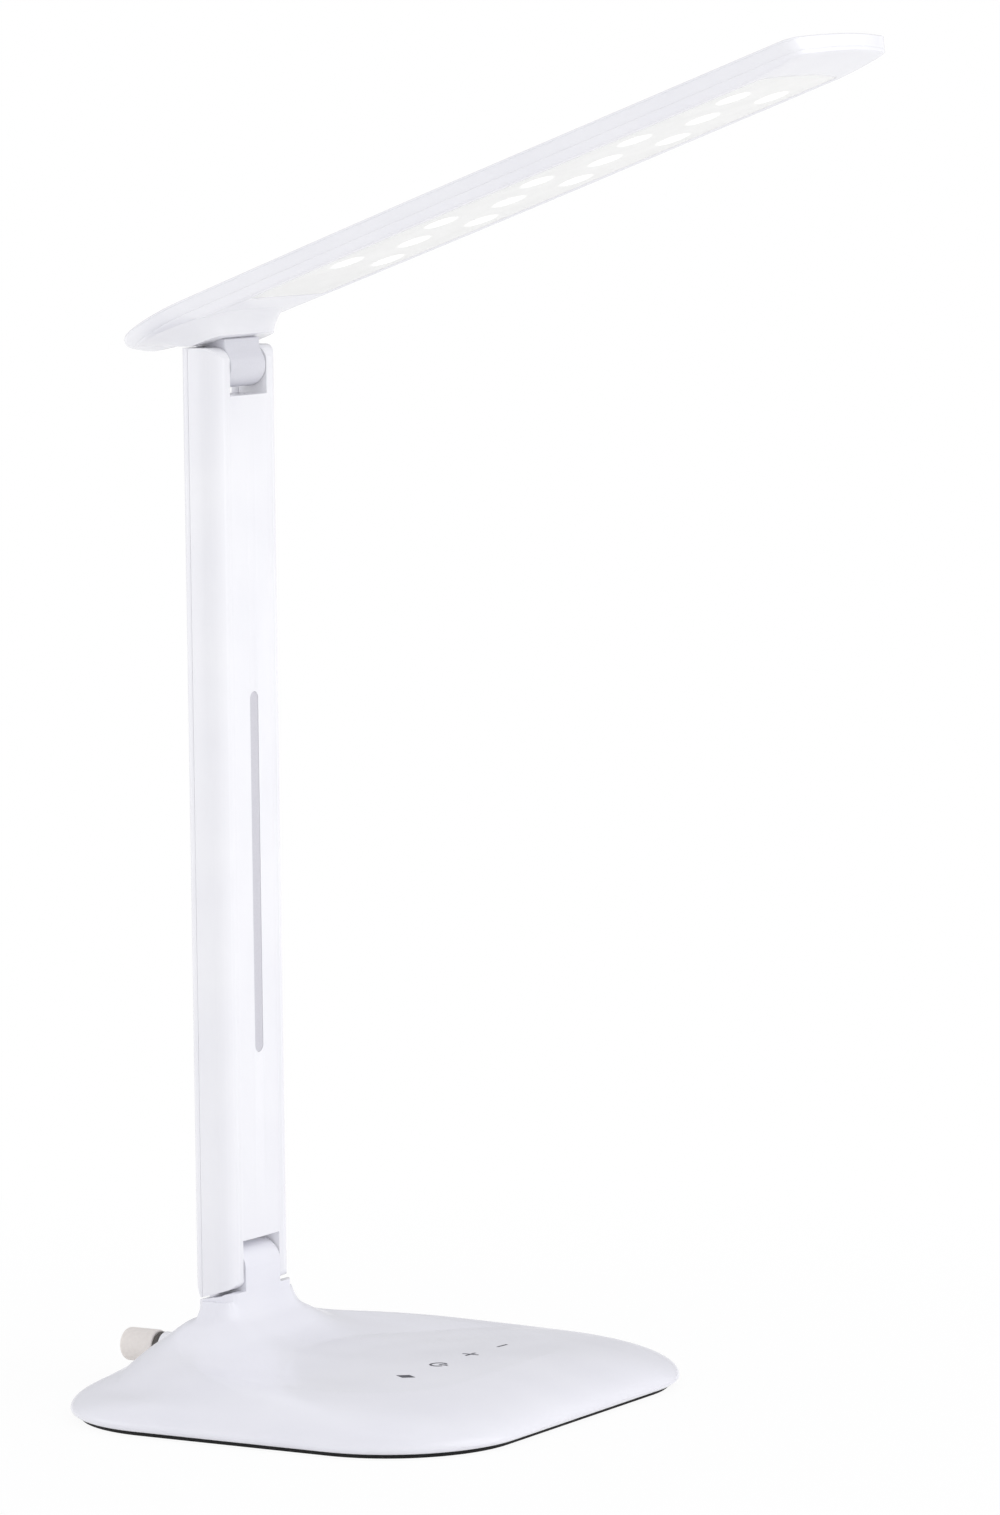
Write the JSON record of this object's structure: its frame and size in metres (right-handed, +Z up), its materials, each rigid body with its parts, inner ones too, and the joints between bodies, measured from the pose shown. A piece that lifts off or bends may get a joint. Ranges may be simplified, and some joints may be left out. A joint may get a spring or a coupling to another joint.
{
  "type": "folding led desk lamp",
  "caption": "Folding LED desk lamp: domed base with touch keys, flat stem and a slim blade head on two friction hinges that fold it flat.",
  "frame": {"origin": "centre of the flat underside of the rubber pad, on the table", "axes": "+Z up from the table; +X forward, the way the head reaches; +Y to the side where the plus and minus keys are"},
  "size_m": [0.2799, 0.185, 0.4471],
  "materials": {
    "white_gloss": "injection-moulded ABS, gloss",
    "white_matt": "white reflective plastic, matt",
    "black_plastic": "moulded, matt",
    "grey_plastic": "moulded, satin",
    "symbol_ink": "printed",
    "diffuser_plastic": "opal acrylic, satin",
    "led_lens": "phosphor under clear resin",
    "board": "circuit board with green mask",
    "wire_plastic": "insulated wire",
    "pad_rubber": "black foam rubber",
    "gland_rubber": "warm grey, matt",
    "dark_rubber": "dark grey, matt",
    "plain_steel": "cut plate, plain",
    "bright_steel": "bright zinc plate"
  },
  "bodies": {
    "base": {"foot_pad": "pad_rubber", "base_plate": "black_plastic", "ballast_plate": "plain_steel", "base_cover": "white_gloss", "touch_icons": "symbol_ink", "touch_board": "board", "touch_springs": "bright_steel", "control_board": "board", "control_parts": "black_plastic", "inlet_sleeve": "white_gloss", "inlet_nut": "grey_plastic", "cable_gland": "gland_rubber", "gland_ring": "dark_rubber", "base_screws": "bright_steel", "board_screws": "bright_steel"},
    "stem": {"lower_bolt": "bright_steel", "lower_nut": "bright_steel", "lower_spring_washers": "bright_steel", "lower_friction_washers": "black_plastic", "lower_yoke": "plain_steel", "lower_yoke_screws": "bright_steel", "stem_body": "white_gloss", "stem_back": "white_gloss", "stem_strip": "grey_plastic", "stem_wires": "wire_plastic", "stem_screws": "bright_steel", "upper_bolt": "bright_steel", "upper_nut": "bright_steel", "upper_spring_washers": "bright_steel", "upper_friction_washers": "black_plastic", "upper_yoke": "plain_steel", "upper_yoke_screws": "bright_steel"},
    "head": {"head_frame": "white_gloss", "head_cover": "white_gloss", "diffuser": "diffuser_plastic", "reflector": "white_matt", "led_board": "white_matt", "leds": "led_lens", "led_screws": "bright_steel", "head_screws": "bright_steel"}
  },
  "joints": [
    {"name": "lower_hinge", "type": "hinge", "parent": "base", "child": "stem", "pos_m": [-0.0515, 0, 0.0415], "axis": [0, 1, 0], "range_deg": [0, 90]},
    {"name": "upper_hinge", "type": "hinge", "parent": "stem", "child": "head", "pos_m": [-0.0515, 0, 0.3405], "axis": [0, 1, 0], "range_deg": [0, 110]}
  ]
}
